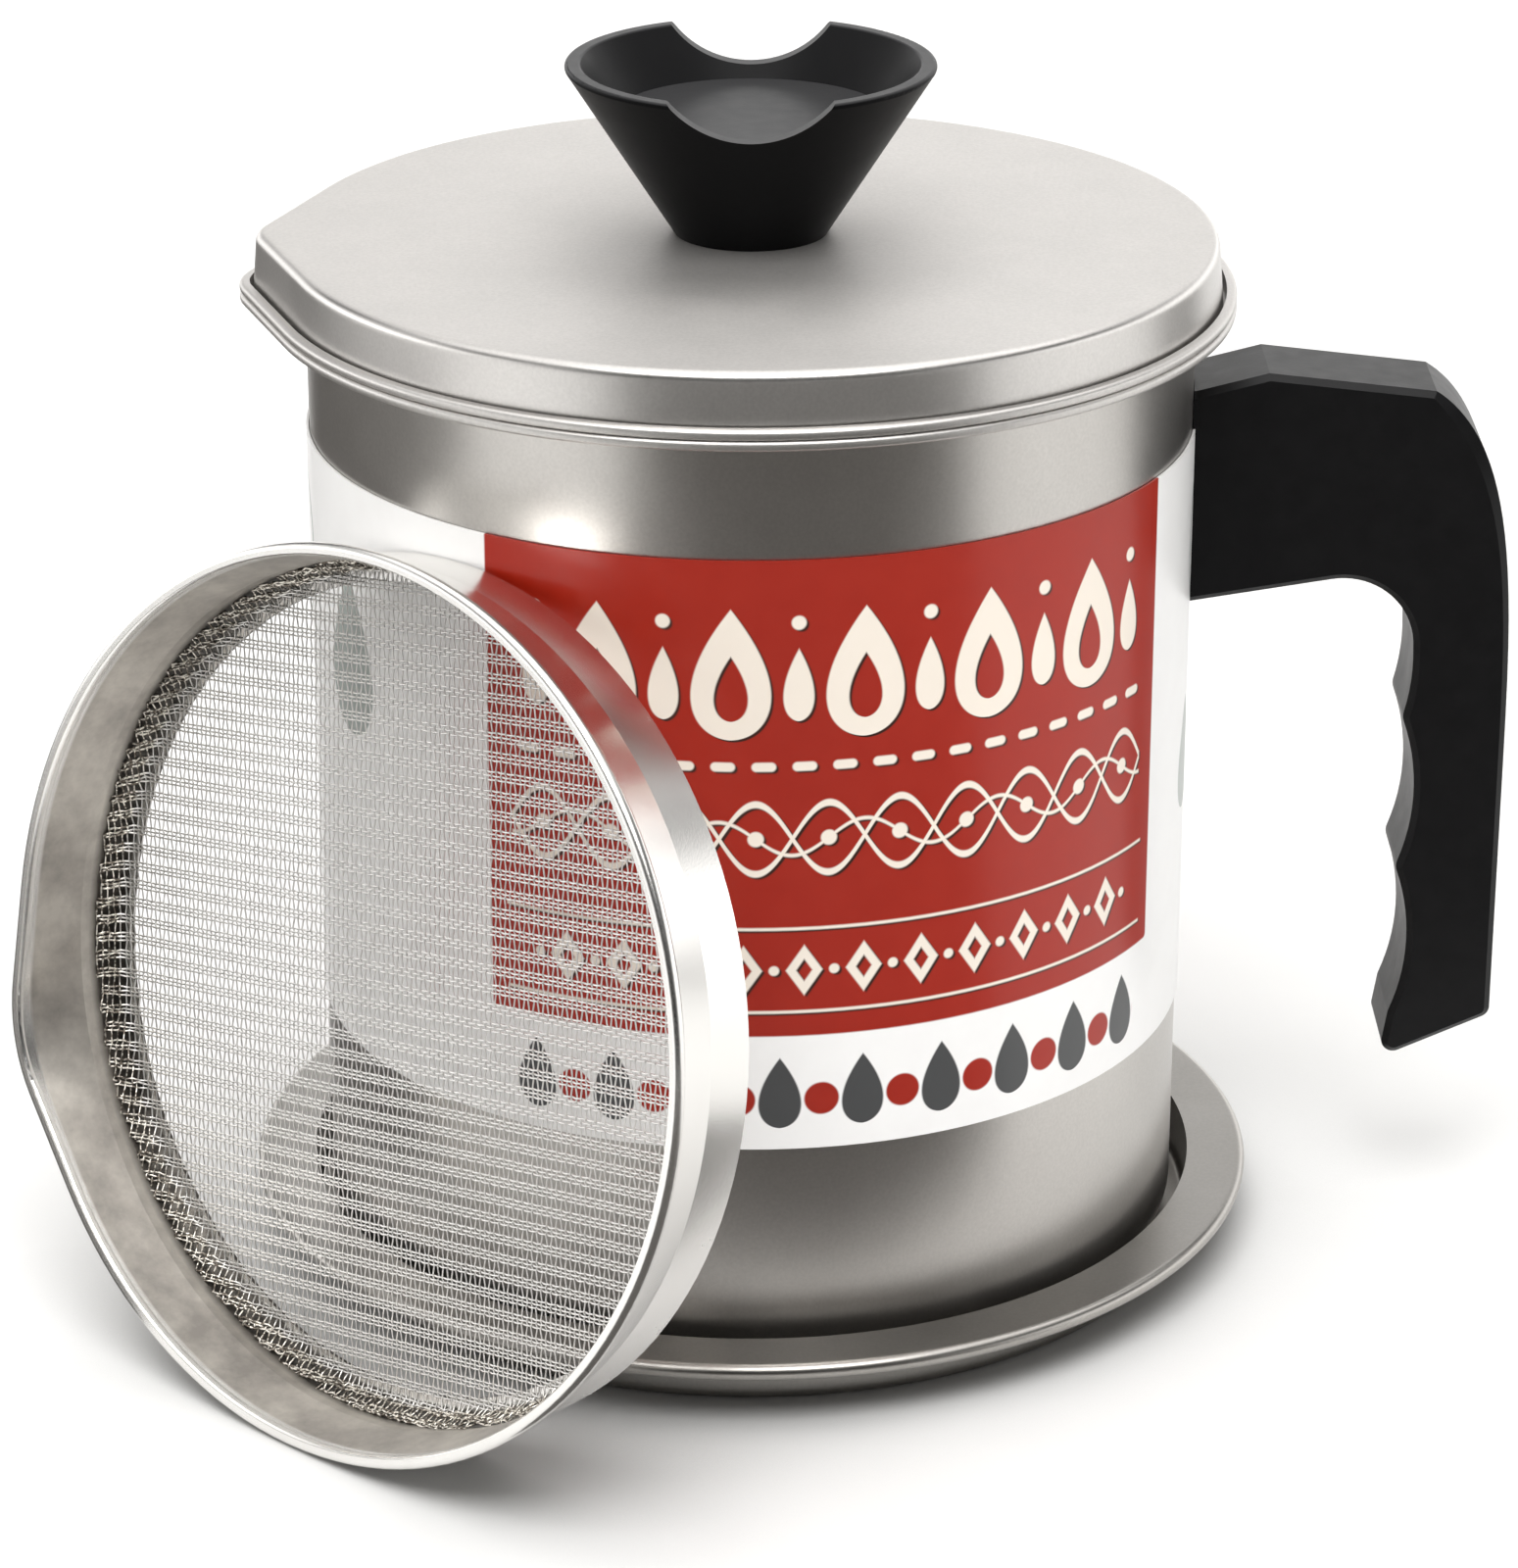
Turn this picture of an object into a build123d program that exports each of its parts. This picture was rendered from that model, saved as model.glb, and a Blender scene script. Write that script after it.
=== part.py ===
from build123d import *
import math
import os

# Grease pot with a strainer, lid, side handle and drip tray. Lengths are in millimetres.
# Frame: +Z up, origin on the table at the centre of the drip tray.
# The handle points to +X and the pouring lip to -X. The strainer leans on the pot at its front left.

# ---------------------------------------------------------------- driving dimensions
# Running clearances
seat_gap = 0.2            # under a piece that stands on another and can be lifted off it
side_gap = 0.4            # beside a piece that can be lifted out
fit_gap = 0.1             # between pieces that are fastened to each other

# Drip tray
tray_wall = 0.6
tray_gap = 2.4            # round the pot, inside the well
tray_height = 8.6         # to the top of the flange
tray_flange = 7.8         # width of the flange, outside the well
tray_corner = 1.5         # outside radius between floor and well
tray_curl = 1.1           # outside radius of the curled edge
tray_curl_turn = 250.0    # the edge is rolled down and back by this angle, in degrees

# Pot
pot_radius = 57.0
pot_wall = 0.6
pot_height = 127.2        # from its underside to the top of the ledge
pot_corner = 5.0          # outside radius between floor and wall
panel_inset = 9.0         # the floor's raised panel ends this far inside the wall
panel_rise = 0.8

# Rim and pouring lip
ledge_width = 3.8         # flat ledge outside the wall, on which the lid stands
hem_width = 1.3
hem_height = 2.1          # above the ledge
roll_share = 0.45         # rolled and headed edges are rounded by this share of their thickness
lip_reach = 3.4           # the lip stands out this far past the round rim
lip_tip_radius = 10.7     # of the hem's outer edge, at the tip of the lip

# Lid
lid_wall = 0.6
lid_height = 8.3
lid_draft = 0.7           # the skirt is this much narrower at the top
lid_round = 1.2

# Knob
knob_neck_radius = 9.8
knob_top_radius = 23.9
knob_height = 22.0
knob_wall = 2.3           # of the cup, measured level
knob_round = 0.45
cup_depth = 6.7
scoop_depth = 5.1         # of the round scoop through the front and back of the cup
scoop_half_width = 10.3   # at the top of the cup

# Screw, washer and insert of the knob
screw_radius = 2.0
screw_head_radius = 3.6
screw_head_height = 2.2
screw_slot_width = 0.9
washer_radius = 6.0
washer_thickness = 1.0
insert_radius = 3.6
insert_length = 9.0
knob_thread_depth = 8.0   # how far the screw reaches into the insert

# Handle
handle_thickness = 14.0
handle_chamfer = 0.8
handle_reach = 42.0       # from the pot's wall to the outside of the grip
arm_drop = 8.7            # the top of the arm lies this far below the ledge
arm_length = 30.8         # from the pot's wall to the corner above the grip
arm_crest = 9.3           # from the pot's wall to the highest point of the arm
arm_slope = 2.4           # the arm falls by this much on each side of its crest
arm_depth = 31.0          # from the crest to the arm's underside at the pot
arm_rise = 4.8            # the underside climbs by this much on its way to the grip
knee_drop = 9.3           # the bend between arm and grip swings out to full width below this level
shoulder_drop = 53.3      # from the crest to the end of that bend
grip_width = 11.6         # across the grip, at the bottom of its finger hollows
grip_length = 96.6        # from the crest to the lower end
grip_chamfer = 6.6        # the lower end slants up by this much to the outside
toe_height = 7.0          # from the lower end to the lowest finger ridge
finger_pitch = 21.2       # from one finger ridge to the next
finger_depth = 2.0        # of the hollows between the ridges
top_hollow_share = 0.4    # the hollow under the arch is at least this share of a finger pitch
ridge_radius = 2.2        # rounds the ridges
toe_reach = 1.1           # the lower end stands in this far past the ridges
arch_radius = 9.5         # inside corner between arm and grip
corner_radius = 1.6       # at the lower end of the grip

# Bracket and screw of the handle
bracket_width = 9.0
bracket_height = 20.0
bracket_thickness = 1.5
tongue_length = 17.0
tongue_thickness = 2.5
handle_screw_reach = 11.0  # from the pot's wall to the screw
handle_screw_seat = 5.0    # the head lies this far inside the underside of the arm

# Label
label_thickness = 0.3
label_height = 78.0
label_base = 33.4         # above the pot's underside

# Strainer
strainer_play = 1.6       # round the band, in the mouth of the pot
strainer_rim_width = 2.4  # the rolled rim stands out this far past the band, over the pot's ledge
strainer_wall = 0.5
strainer_depth = 15.2
strainer_curl = 1.7       # height of the rolled rim
spout_reach = 2.3         # the strainer's lip stands out this far past its round rim
spout_tip_radius = 22.0   # of the rim's outer edge, at the tip of that lip
spout_depth = 8.5         # the band becomes round this far below the rim
foot_width = 3.6          # of the turned-in foot that carries the mesh
mesh_thickness = 0.4
mesh_upturn = 4.8         # height of the mesh's turned-up edge
mesh_slope = 2.4          # how far that edge leans out
mesh_openings = 9         # side by side across the mesh, in place of the far finer ones of its weave
mesh_bar = 2.2            # between one opening and the next

# How the strainer leans on the pot
lean_angle = 10.2         # from upright, in degrees
facing_angle = 228.3      # direction that its mouth faces, in degrees from +X
lean_shift = 4.1          # its middle lies this far to the side of the pot's axis
lip_turn = 20.0           # its lip is turned this far below level, in degrees

# ---------------------------------------------------------------- derived places
well_radius = pot_radius + tray_gap
tray_radius = well_radius + tray_flange
pot_base = tray_wall + seat_gap
ledge_top = pot_base + pot_height
rim_radius = pot_radius + ledge_width + hem_width
hem_top = ledge_top + hem_height

lid_base = ledge_top + seat_gap
lid_top = lid_base + lid_height
lid_radius = rim_radius - hem_width - side_gap
screw_seat = lid_top - lid_wall - washer_thickness

label_radius = pot_radius + fit_gap + label_thickness
label_bottom = pot_base + label_base
crest_z = ledge_top - arm_drop
underside_z = crest_z - arm_depth
tongue_z = crest_z - arm_depth / 2
bracket_radius = pot_radius + fit_gap + bracket_thickness
handle_screw_x = pot_radius + handle_screw_reach
arch_x = pot_radius + handle_reach - grip_width - finger_depth / 2
arch_slope = math.atan(arm_rise / (arch_x - pot_radius))
arch_run = arch_radius / math.tan((math.pi / 2 - arch_slope) / 2)
grip_room = grip_length - arm_depth + arm_rise - arch_run - toe_height
finger_count = 1 + int(grip_room / finger_pitch - top_hollow_share)

strainer_band_radius = pot_radius - pot_wall - strainer_play
strainer_rim_radius = strainer_band_radius + strainer_rim_width

# A lip is given by the round rim that it grows out of, its reach and the radius of its tip
pot_lip = (rim_radius, lip_reach, lip_tip_radius)
strainer_lip = (strainer_rim_radius, spout_reach, spout_tip_radius)


def rim_outline(radius, z, lip, lipped=True):
    """Face of a rim seen from above: a circle drawn out to a lip at -X by two tangent lines.

    Outlines of another radius run level with the lip's own rim. With lipped=False it is a plain
    circle, cut into the same four edges, for lofts between both.
    """
    lip_rim_radius, reach, tip_radius_at_rim = lip
    tip_centre = lip_rim_radius + reach - tip_radius_at_rim
    tangent_angle = math.acos((lip_rim_radius - tip_radius_at_rim) / tip_centre)
    cosine = math.cos(tangent_angle)
    sine = math.sin(tangent_angle)
    tip_radius = radius - (lip_rim_radius - tip_radius_at_rim)
    start = (-radius * cosine, radius * sine)
    end = (-radius * cosine, -radius * sine)
    if lipped:
        tip_start = (-tip_centre - tip_radius * cosine, tip_radius * sine)
        tip_end = (tip_start[0], -tip_start[1])
        side_a = Line(end, tip_end)
        side_b = Line(tip_start, start)
        tip = ThreePointArc(tip_end, (-tip_centre - tip_radius, 0), tip_start)
    else:
        half = tangent_angle / 2
        three_quarters = tangent_angle * 0.75
        tip_start = (-radius * math.cos(half), radius * math.sin(half))
        tip_end = (tip_start[0], -tip_start[1])
        middle = (-radius * math.cos(three_quarters), radius * math.sin(three_quarters))
        side_a = ThreePointArc(end, (middle[0], -middle[1]), tip_end)
        side_b = ThreePointArc(tip_start, middle, start)
        tip = ThreePointArc(tip_end, (-radius, 0), tip_start)
    around = ThreePointArc(start, (radius, 0), end)
    return Pos(0, 0, z) * make_face([around, side_a, tip, side_b])


def rim_slab(radius, bottom, top, lip):
    """Upright slab with the outline of a rim."""
    return extrude(rim_outline(radius, bottom, lip), amount=top - bottom)


def rolled_ring(radius, width, bottom, top, lip):
    """Ring along the outline of a rim, rounded on its outside."""
    ring = rim_slab(radius, bottom, top, lip)
    ring = fillet(edges_at(ring, bottom) + edges_at(ring, top), (top - bottom) * roll_share)
    return ring - rim_slab(radius - width, bottom - 1, top + 1, lip)


def edges_at(solid, z):
    """Edges of a solid that lie in one level plane."""
    return solid.edges().filter_by_position(Axis.Z, z - 0.001, z + 0.001)


def disc(radius, bottom, top):
    """Upright cylinder about the pot's axis, given by its two ends."""
    return Pos(0, 0, bottom) * Cylinder(radius, top - bottom, align=(Align.CENTER, Align.CENTER, Align.MIN))


def drawn_cup(radius, wall, bottom, top, corner):
    """Open cup with one wall thickness and a rounded corner at its floor."""
    outside = disc(radius, bottom, top)
    outside = fillet(edges_at(outside, bottom), corner)
    inside = disc(radius - wall, bottom + wall, top + 1)
    inside = fillet(edges_at(inside, bottom + wall), corner - wall)
    return outside - inside


def turned(radius, centre_radius, centre_z, degrees):
    """Point on a circle in the section of a round part, as (distance from the axis, height)."""
    angle = math.radians(degrees)
    return (centre_radius + radius * math.cos(angle), centre_z + radius * math.sin(angle))


def make_drip_tray():
    """Well with a flat flange, whose edge is rolled down and back. Turned from one section of sheet."""
    outer = well_radius + tray_wall
    corner_in = tray_corner - tray_wall
    curl_in = tray_curl - tray_wall
    curl_radius = tray_radius - tray_curl
    curl_z = tray_height - tray_curl
    curl_end = 90 - tray_curl_turn
    curl_middle = 90 - tray_curl_turn / 2
    outside = turned(tray_curl, curl_radius, curl_z, curl_end)
    inside = turned(curl_in, curl_radius, curl_z, curl_end)
    section = [
        Polyline((0, 0), (outer - tray_corner, 0)),
        ThreePointArc((outer - tray_corner, 0),
                      turned(tray_corner, outer - tray_corner, tray_corner, -45), (outer, tray_corner)),
        Polyline((outer, tray_corner), (outer, tray_height - tray_wall), (curl_radius, tray_height - tray_wall)),
        ThreePointArc((curl_radius, tray_height - tray_wall),
                      turned(curl_in, curl_radius, curl_z, curl_middle), inside),
        Line(inside, outside),
        ThreePointArc(outside, turned(tray_curl, curl_radius, curl_z, curl_middle), (curl_radius, tray_height)),
        Polyline((curl_radius, tray_height), (well_radius, tray_height), (well_radius, tray_corner)),
        ThreePointArc((well_radius, tray_corner),
                      turned(corner_in, outer - tray_corner, tray_corner, -45), (outer - tray_corner, tray_wall)),
        Polyline((outer - tray_corner, tray_wall), (0, tray_wall), (0, 0)),
    ]
    return revolve(Plane.XZ * make_face(section), Axis.Z)


def make_pot_body():
    """Drawn cup with a raised floor panel, up to the underside of the ledge."""
    panel_radius = pot_radius - panel_inset
    cup = drawn_cup(pot_radius, pot_wall, pot_base, ledge_top - pot_wall, pot_corner)
    cup += disc(panel_radius + pot_wall, pot_base + pot_wall, pot_base + pot_wall + panel_rise)
    return cup - disc(panel_radius, pot_base - 1, pot_base + panel_rise)


def make_pot_rim():
    """Flat ledge on top of the wall. Its edge is hemmed into two rolls, one on the other, along the lip."""
    underside = ledge_top - pot_wall
    seam_z = (underside + hem_top) / 2
    ledge = rim_slab(rim_radius - hem_width / 2, underside, ledge_top, pot_lip)
    ledge -= disc(pot_radius - pot_wall, pot_base, ledge_top + 1)
    lower_roll = rolled_ring(rim_radius, hem_width, underside, seam_z, pot_lip)
    upper_roll = rolled_ring(rim_radius, hem_width, seam_z, hem_top, pot_lip)
    return ledge + lower_roll + upper_roll


def make_label_sleeve():
    """Paper wrap round the pot, open at the handle."""
    inner_radius = pot_radius + fit_gap
    wrap = disc(inner_radius + label_thickness, label_bottom, label_bottom + label_height)
    wrap -= disc(inner_radius, 0, ledge_top)
    slot_width = handle_thickness + 2 * side_gap
    slot = Pos(pot_radius, 0, ledge_top / 2) * Box(pot_radius, slot_width, ledge_top)
    return wrap - slot


def make_lid_shell():
    """Flat lid with a tapered skirt, which follows the lip and stands inside the hem."""
    def hollow(shrink, top):
        return loft([rim_outline(lid_radius - shrink, lid_base, pot_lip),
                     rim_outline(lid_radius - shrink - lid_draft, top, pot_lip)], ruled=True)
    outside = hollow(0, lid_top)
    outside = fillet(edges_at(outside, lid_top), lid_round)
    inside = hollow(lid_wall, lid_top - lid_wall)
    bore = disc(screw_radius + fit_gap, lid_base, lid_top + 1)
    return outside - inside - bore


def make_lid_knob():
    """Cone that opens into a shallow cup, with a round scoop through its front and back."""
    top = lid_top + knob_height
    cup_floor = top - cup_depth
    slope = (knob_top_radius - knob_neck_radius) / knob_height
    floor_radius = knob_top_radius - slope * cup_depth - knob_wall
    profile = Polyline((0, lid_top), (knob_neck_radius, lid_top), (knob_top_radius, top),
                       (knob_top_radius - knob_wall, top), (floor_radius, cup_floor),
                       (0, cup_floor), (0, lid_top))
    knob = revolve(Plane.XZ * make_face(profile), Axis.Z)
    knob = fillet(edges_at(knob, top), knob_round)
    scoop_radius = (scoop_half_width ** 2 + scoop_depth ** 2) / (2 * scoop_depth)
    scoop = Rot(90, 0, 0) * Cylinder(scoop_radius, 4 * knob_top_radius)
    knob -= Pos(0, 0, top - scoop_depth + scoop_radius) * scoop
    return knob - disc(insert_radius, lid_top - 1, lid_top + insert_length)


def make_knob_insert():
    """Threaded insert, flush with the underside of the knob."""
    insert = disc(insert_radius, lid_top, lid_top + insert_length)
    return insert - disc(screw_radius, 0, lid_top + knob_thread_depth)


def headed_screw(seat, tip):
    """Pan-head screw that points up, with its head below the seat."""
    head = disc(screw_head_radius, seat - screw_head_height, seat)
    head = fillet(edges_at(head, seat - screw_head_height), screw_head_height * roll_share)
    slot = Box(4 * screw_head_radius, screw_slot_width, screw_head_height)
    slot = Pos(0, 0, seat - screw_head_height) * slot
    return (head - slot) + disc(screw_radius, seat, tip)


def make_knob_washer():
    return disc(washer_radius, screw_seat, screw_seat + washer_thickness) - disc(screw_radius, 0, lid_top)


def make_knob_screw():
    return headed_screw(screw_seat, lid_top + knob_thread_depth - fit_gap)


def finger_edge(hollow_x, top_z, lowest_ridge_z):
    """Inner edge of the grip, from top to bottom: round hollows for the fingers that meet in ridges.

    A shorter hollow has the same roundness, so its depth goes with the square of its length.
    """
    ridge_x = hollow_x - finger_depth
    upper = (arch_x, top_z)
    edge = []
    for finger in reversed(range(finger_count)):
        ridge = (ridge_x, lowest_ridge_z + finger * finger_pitch)
        depth = finger_depth * ((upper[1] - ridge[1]) / finger_pitch) ** 2
        middle = ((upper[0] + ridge[0]) / 2 + depth, (upper[1] + ridge[1]) / 2)
        edge.append(ThreePointArc(upper, middle, ridge))
        upper = ridge
    return edge


def make_handle_grip():
    """L-shaped moulding that ends in a saddle on the pot and hides the bracket."""
    outer_x = pot_radius + handle_reach
    hollow_x = outer_x - grip_width
    bottom_z = crest_z - grip_length
    arm_end_z = underside_z + arm_rise
    neck_z = crest_z - arm_slope
    knee_z = crest_z - knee_drop
    shoulder_z = crest_z - shoulder_drop
    crest = (pot_radius + arm_crest, crest_z)
    corner = (pot_radius + arm_length, crest_z - arm_slope)
    heel = (outer_x, bottom_z + grip_chamfer)
    toe = (hollow_x - finger_depth - toe_reach, bottom_z)
    arch = (arch_x, arm_end_z)
    fingers = finger_edge(hollow_x, arm_end_z - arch_run - fit_gap, bottom_z + toe_height)
    lowest_ridge = fingers[-1] @ 1
    outline = [
        Polyline((0, neck_z), (pot_radius, neck_z), crest, corner),
        Bezier(corner, (outer_x, knee_z), (outer_x, (knee_z + shoulder_z) / 2), (outer_x, shoulder_z)),
        Polyline((outer_x, shoulder_z), heel, toe, lowest_ridge),
        *fingers,
        Polyline(fingers[0] @ 0, arch, (pot_radius, underside_z), (0, underside_z), (0, neck_z)),
    ]
    grip = extrude(Plane.XZ * make_face(outline), amount=handle_thickness / 2, both=True)
    upright = grip.edges().filter_by(Axis.Y)
    grip = fillet(upright.sort_by_distance((arch[0], 0, arch[1]))[0], arch_radius)
    ridges = []
    for finger in fingers:
        place = finger @ 1
        upright = grip.edges().filter_by(Axis.Y)
        ridges.append(upright.sort_by_distance((place.X, 0, place.Y))[0])
    grip = fillet(ridges, ridge_radius)
    ends = grip.edges().filter_by(Axis.Y).filter_by_position(Axis.Z, bottom_z - 1, heel[1] + 1)
    grip = fillet(ends, corner_radius)
    grip = chamfer(grip.faces().filter_by(Axis.Y).edges(), handle_chamfer)
    grip -= disc(pot_radius + fit_gap, 0, 2 * ledge_top)
    return grip - bracket_solid(fit_gap) - handle_screw_bore()


def bracket_solid(extra):
    """Saddle plate with a level tongue, grown by a clearance on all sides."""
    outer = bracket_radius + extra
    plate = disc(outer, tongue_z - bracket_height / 2 - extra, tongue_z + bracket_height / 2 + extra)
    plate &= Pos(pot_radius, 0, tongue_z) * Box(pot_radius, bracket_width + 2 * extra, 2 * bracket_height)
    tongue_end = pot_radius + tongue_length + extra
    tongue = Box(tongue_end - pot_radius + bracket_thickness, bracket_width + 2 * extra,
                 tongue_thickness + 2 * extra, align=(Align.MAX, Align.CENTER, Align.CENTER))
    solid = plate + Pos(tongue_end, 0, tongue_z) * tongue
    return solid - disc(pot_radius + fit_gap, 0, ledge_top)


def make_handle_bracket():
    return bracket_solid(0) - Pos(handle_screw_x, 0, 0) * disc(screw_radius, 0, ledge_top)


def screw_levels():
    """Seat of the handle screw's head, and its tip above the tongue."""
    climb = arm_rise * handle_screw_reach / arm_length
    seat = underside_z + climb + handle_screw_seat
    tip = tongue_z + tongue_thickness
    return seat, tip


def handle_screw_bore():
    """Counterbore, clearance hole and room for the tip, from the underside of the arm."""
    seat, tip = screw_levels()
    bore = disc(screw_radius + fit_gap, seat - 1, tip + 2 * fit_gap)
    bore += disc(screw_head_radius + side_gap, underside_z - 1, seat)
    return Pos(handle_screw_x, 0, 0) * bore


def make_handle_screw():
    seat, tip = screw_levels()
    return Pos(handle_screw_x, 0, 0) * headed_screw(seat, tip)


def strainer_place():
    """Where the strainer leans: its base on the pot's label, and its edge on the table."""
    lean = math.radians(lean_angle)
    facing = math.radians(facing_angle)
    outward = Vector(math.cos(facing), math.sin(facing), 0)
    sideways = Vector(-outward.Y, outward.X, 0)
    mouth = outward * math.cos(lean) + Vector(0, 0, math.sin(lean))
    across = Vector(0, 0, math.cos(lean)) - outward * math.sin(lean)
    out = label_radius + seat_gap + strainer_depth * math.cos(lean) + strainer_band_radius * math.sin(lean)
    height = max(strainer_rim_radius * math.cos(lean),
                 strainer_depth * math.sin(lean) + strainer_band_radius * math.cos(lean))
    middle = outward * out + sideways * lean_shift + Vector(0, 0, height)
    turn = math.radians(lip_turn)
    x_direction = sideways * math.cos(turn) + across * math.sin(turn)
    return Plane(origin=middle, x_dir=x_direction, z_dir=mouth)


def make_strainer_band():
    """Ring with a rolled rim and a spout, open at both ends, with a turned-in foot."""
    def hollow(shrink, top, bottom):
        neck = loft([rim_outline(strainer_band_radius - shrink, -spout_depth, strainer_lip, lipped=False),
                     rim_outline(strainer_rim_radius - strainer_curl / 2 - shrink, top, strainer_lip)],
                    ruled=True)
        return neck + disc(strainer_band_radius - shrink, bottom, -spout_depth)
    band = hollow(0, 0, -strainer_depth) - hollow(strainer_wall, 0, -strainer_depth)
    curl = rim_slab(strainer_rim_radius, -strainer_curl, 0, strainer_lip)
    curl -= rim_slab(strainer_rim_radius - strainer_curl, -2 * strainer_curl, 1, strainer_lip)
    curl = fillet(edges_at(curl, 0) + edges_at(curl, -strainer_curl), strainer_curl * roll_share)
    foot = disc(strainer_band_radius, -strainer_depth, -strainer_depth + strainer_wall)
    foot -= disc(strainer_band_radius - foot_width, -2 * strainer_depth, 0)
    return band + curl + foot


def make_strainer_mesh():
    """Dish with a slanting edge, which lies on the foot inside the ring.

    A grid of square openings, those that lie wholly on the flat of the dish, stands for the weave.
    """
    bottom = -strainer_depth + strainer_wall + fit_gap / 2
    outer_radius = strainer_band_radius - strainer_wall - fit_gap
    flat_radius = outer_radius - mesh_slope
    top = bottom + mesh_upturn
    profile = Polyline((0, bottom), (flat_radius, bottom), (outer_radius, top),
                       (outer_radius - mesh_thickness, top),
                       (flat_radius - mesh_thickness, bottom + mesh_thickness),
                       (0, bottom + mesh_thickness), (0, bottom))
    dish = revolve(Plane.XZ * make_face(profile), Axis.Z)
    pitch = 2 * flat_radius / mesh_openings
    width = pitch - mesh_bar
    room = flat_radius - mesh_bar / 2 - width / math.sqrt(2)
    opening = Pos(0, 0, bottom) * Box(width, width, 4 * mesh_thickness)
    grid = GridLocations(pitch, pitch, mesh_openings, mesh_openings)
    return dish - [place * opening for place in grid if place.position.length < room]


leaning = strainer_place().location
nodes = {
    "drip_tray": make_drip_tray(),
    "pot_body": make_pot_body(),
    "pot_rim": make_pot_rim(),
    "label_sleeve": make_label_sleeve(),
    "handle_grip": make_handle_grip(),
    "handle_bracket": make_handle_bracket(),
    "handle_screw": make_handle_screw(),
    "lid_shell": make_lid_shell(),
    "lid_knob": make_lid_knob(),
    "knob_insert": make_knob_insert(),
    "knob_screw": make_knob_screw(),
    "knob_washer": make_knob_washer(),
    "strainer_band": leaning * make_strainer_band(),
    "strainer_mesh": leaning * make_strainer_mesh(),
}

os.makedirs("parts", exist_ok=True)
for name, solid in nodes.items():
    export_step(solid, f"parts/{name}.step")
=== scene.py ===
import bpy
import math
import numpy as np
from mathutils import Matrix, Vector


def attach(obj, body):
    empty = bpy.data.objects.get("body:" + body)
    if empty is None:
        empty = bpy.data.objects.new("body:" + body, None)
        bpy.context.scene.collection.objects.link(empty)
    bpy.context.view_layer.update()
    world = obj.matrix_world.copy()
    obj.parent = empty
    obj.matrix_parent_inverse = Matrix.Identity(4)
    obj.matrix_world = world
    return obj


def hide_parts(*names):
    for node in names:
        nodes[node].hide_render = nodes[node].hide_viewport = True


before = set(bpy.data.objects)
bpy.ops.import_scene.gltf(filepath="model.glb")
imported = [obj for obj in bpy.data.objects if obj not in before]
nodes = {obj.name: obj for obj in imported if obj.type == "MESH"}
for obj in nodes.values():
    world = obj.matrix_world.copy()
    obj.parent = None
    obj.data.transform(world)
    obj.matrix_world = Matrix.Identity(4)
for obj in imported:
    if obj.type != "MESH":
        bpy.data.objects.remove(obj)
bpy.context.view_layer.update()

# ---------------------------------------------------------------- sizes
MM = 0.001                  # lengths are in metres, but sections and the printed label are in mm

LABEL_RADIUS = 57.4 * MM    # outside of the paper, from the axis of the pot
SEAT_GAP = 0.2 * MM         # between pieces that only rest on each other

# strainer
BAND_RADIUS = 54.8 * MM
BAND_WALL = 0.5 * MM
STRAINER_DEPTH = 15.2 * MM
LEAN = math.radians(10.2)       # how far its mouth looks up
FACING = math.radians(228.3)    # direction of its mouth, seen from above
LIP_TURN = math.radians(20.0)   # of its lip, round its axis
LEAN_SHIFT = 4.1 * MM           # sideways from where it would touch the pot squarely

# wire cloth of the strainer
ROW_PITCH = 2.4 * MM        # from one row of weft wires to the next
ROW_WIRES = 3               # weft wires in a row
WEFT_PITCH = 0.5 * MM       # from one weft wire of a row to the next
WARP_PITCH = 0.8 * MM
WEFT_RADIUS = 0.14 * MM
WARP_RADIUS = 0.105 * MM
WEAVE_WAVE = 0.13 * MM      # every wire swings this far up and down
WEAVE_TURN = math.radians(-12.0)
CLOTH_REACH = 58 * MM       # wires are laid out this far from the middle, then cut to the dish
FLAT_SHAKE = 0.02 * MM      # unevenness of the wires on the flat of the dish
EDGE_SHAKE = 0.1 * MM       # and where the press has bunched them up
DISH_RADIUS = 51.9 * MM     # flat part of the dish
DISH_BEND = 1.0 * MM        # radius of the bend to its edge
DISH_ANGLE = math.radians(62.0)
DISH_SLOPE = 3.4 * MM       # length of the slanting edge
MESH_LEVEL = -STRAINER_DEPTH + BAND_WALL + WEAVE_WAVE + WEFT_RADIUS + 0.02 * MM

# pouring lip of the pot and the lid, in mm
LIP_CENTRE = 54.8           # from the axis to the middle of the lip's round tip
LIP_SHRINK = 51.4           # the tip of a level line is smaller by this than its round part
SHEET_CREASE = math.radians(35)     # bends of pressed sheet past this angle show as edges

# printed label, in mm: along the wrap, and up from the lower edge of the paper
LABEL_BOTTOM = 34.2         # above the table
LABEL_FACE = math.radians(-76.0)    # direction that the middle of the red panel faces
PANEL_HALF_WIDTH = 48.4
PANEL_BOTTOM = 15.5
PANEL_TOP = 90.0            # past the upper edge of the paper
PRINT_BLUR = 0.12           # over which the ink ends
DROP_PITCH = 16.5           # from one motif of a row to the next
DASH_PITCH = 5.0
BEAD_PITCH = 9.0
DIAMOND_PITCH = 7.5
FOOT_PITCH = 10.5
SIDE_PITCH = 180.0


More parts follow.
